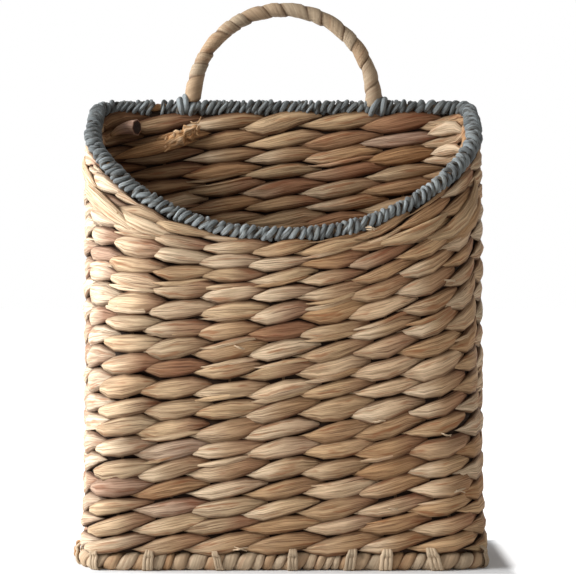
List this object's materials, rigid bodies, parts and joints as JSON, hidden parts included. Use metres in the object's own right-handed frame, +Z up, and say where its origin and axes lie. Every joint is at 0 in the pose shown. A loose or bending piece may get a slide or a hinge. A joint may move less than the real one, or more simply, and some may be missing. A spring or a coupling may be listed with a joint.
{
  "type": "wall basket",
  "caption": "Flat-backed woven wall basket with a D-shaped scooped mouth, a wound rim and base ring on a wire frame, and an arched hanging handle.",
  "frame": {"origin": "middle of the base outline on the plane the basket stands on", "axes": "+Z up along the wall, +Y towards the flat back, -Y towards the scooped front, +X to the right as seen from the front"},
  "size_m": [0.2854, 0.1324, 0.4032],
  "materials": {
    "iron_wire": "dull black wire",
    "hyacinth_strand": "dry twisted plant fibre, matte",
    "reed_stake": "dry reed, matte",
    "hyacinth_leaf": "dry flat leaf, matte",
    "grey_cord": "slate grey fibre cord, matte"
  },
  "bodies": {
    "root": {"base_cross_wire_1": "iron_wire", "base_cross_wire_2": "iron_wire", "base_cross_wire_3": "iron_wire", "base_ring_wrap": "hyacinth_leaf", "base_weave": "hyacinth_strand", "frame_base_ring": "iron_wire", "frame_handle": "iron_wire", "frame_rim_ring": "iron_wire", "frame_upright_back_left": "iron_wire", "frame_upright_back_right": "iron_wire", "frame_upright_front_left": "iron_wire", "frame_upright_front_right": "iron_wire", "handle_wrap": "hyacinth_leaf", "rim_wrap": "grey_cord", "stake_01": "reed_stake", "stake_02": "reed_stake", "stake_03": "reed_stake", "stake_04": "reed_stake", "stake_05": "reed_stake", "stake_06": "reed_stake", "stake_07": "reed_stake", "stake_08": "reed_stake", "stake_09": "reed_stake", "stake_10": "reed_stake", "stake_11": "reed_stake", "stake_12": "reed_stake", "stake_13": "reed_stake", "stake_14": "reed_stake", "stake_15": "reed_stake", "stake_16": "reed_stake", "weave_row_01": "hyacinth_strand", "weave_row_02": "hyacinth_strand", "weave_row_03": "hyacinth_strand", "weave_row_04": "hyacinth_strand", "weave_row_05": "hyacinth_strand", "weave_row_06": "hyacinth_strand", "weave_row_07": "hyacinth_strand", "weave_row_08": "hyacinth_strand", "weave_row_09": "hyacinth_strand", "weave_row_10": "hyacinth_strand", "weave_row_11": "hyacinth_strand", "weave_row_12": "hyacinth_strand", "weave_row_13": "hyacinth_strand", "weave_row_14": "hyacinth_strand", "weave_row_15": "hyacinth_strand", "weave_row_16": "hyacinth_strand", "weave_row_17": "hyacinth_strand", "weave_row_18": "hyacinth_strand", "weave_row_19": "hyacinth_strand", "weave_row_20": "hyacinth_strand", "weave_row_21": "hyacinth_strand", "weave_row_22": "hyacinth_strand", "weave_row_23": "hyacinth_strand", "weave_row_24": "hyacinth_strand"}
  },
  "joints": []
}
